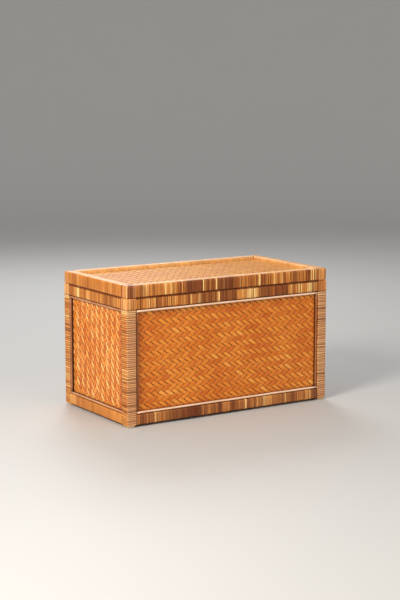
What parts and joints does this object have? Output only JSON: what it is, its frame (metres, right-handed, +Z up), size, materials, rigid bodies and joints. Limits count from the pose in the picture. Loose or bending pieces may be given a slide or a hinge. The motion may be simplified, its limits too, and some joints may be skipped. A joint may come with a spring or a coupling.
{
  "type": "wicker storage trunk",
  "caption": "Rectangular storage trunk with a cane-wrapped wooden frame, woven cane panels in the sides and lid, round cane beads, stub feet and a hinged lid.",
  "frame": {"origin": "on the floor under the middle of the trunk", "axes": "+X along the trunk's length, -Y out of its front, +Z up"},
  "size_m": [0.87, 0.468, 0.505],
  "materials": {
    "frame_wood": "planed softwood",
    "plywood": "thin plywood, matt",
    "foot_wood": "worn wood",
    "rail_cane": "wrapped peel cane, aged satin",
    "post_cane": "fine wrapped cane, satin",
    "cane_corner": "peel cane strips, satin",
    "cane_bead": "round-fronted cane bead, satin",
    "woven_cane": "woven flat cane, aged satin",
    "brass": "aged brass"
  },
  "bodies": {
    "body": {"post_front_left": "frame_wood", "post_front_right": "frame_wood", "post_back_left": "frame_wood", "post_back_right": "frame_wood", "post_wrap_front_left": "post_cane", "post_wrap_front_right": "post_cane", "post_wrap_back_left": "post_cane", "post_wrap_back_right": "post_cane", "post_caps": "cane_corner", "feet": "foot_wood", "top_rail_front": "frame_wood", "top_rail_back": "frame_wood", "top_rail_left": "frame_wood", "top_rail_right": "frame_wood", "top_rail_wrap_front": "rail_cane", "top_rail_wrap_back": "rail_cane", "top_rail_wrap_left": "rail_cane", "top_rail_wrap_right": "rail_cane", "bottom_rail_front": "frame_wood", "bottom_rail_back": "frame_wood", "bottom_rail_left": "frame_wood", "bottom_rail_right": "frame_wood", "bottom_rail_wrap_front": "rail_cane", "bottom_rail_wrap_back": "rail_cane", "bottom_rail_wrap_left": "rail_cane", "bottom_rail_wrap_right": "rail_cane", "board_front": "plywood", "board_back": "plywood", "board_left": "plywood", "board_right": "plywood", "floor_board": "plywood", "mat_front": "woven_cane", "mat_back": "woven_cane", "mat_left": "woven_cane", "mat_right": "woven_cane", "beads_front": "cane_bead", "beads_back": "cane_bead", "beads_left": "cane_bead", "beads_right": "cane_bead", "hinge_body_leaves": "brass", "hinge_pins": "brass", "hinge_body_screws": "brass"},
    "lid": {"lid_rail_front": "frame_wood", "lid_rail_back": "frame_wood", "lid_rail_left": "frame_wood", "lid_rail_right": "frame_wood", "lid_rail_wrap_front": "rail_cane", "lid_rail_wrap_back": "rail_cane", "lid_rail_wrap_left": "rail_cane", "lid_rail_wrap_right": "rail_cane", "lid_caps": "cane_corner", "lid_board": "plywood", "lid_mat": "woven_cane", "hinge_lid_leaves": "brass", "hinge_lid_screws": "brass"}
  },
  "joints": [
    {"name": "lid_hinge", "type": "hinge", "parent": "body", "child": "lid", "pos_m": [0, 0.2312, 0.459], "axis": [-1, 0, 0], "range_deg": [0, 97]}
  ]
}
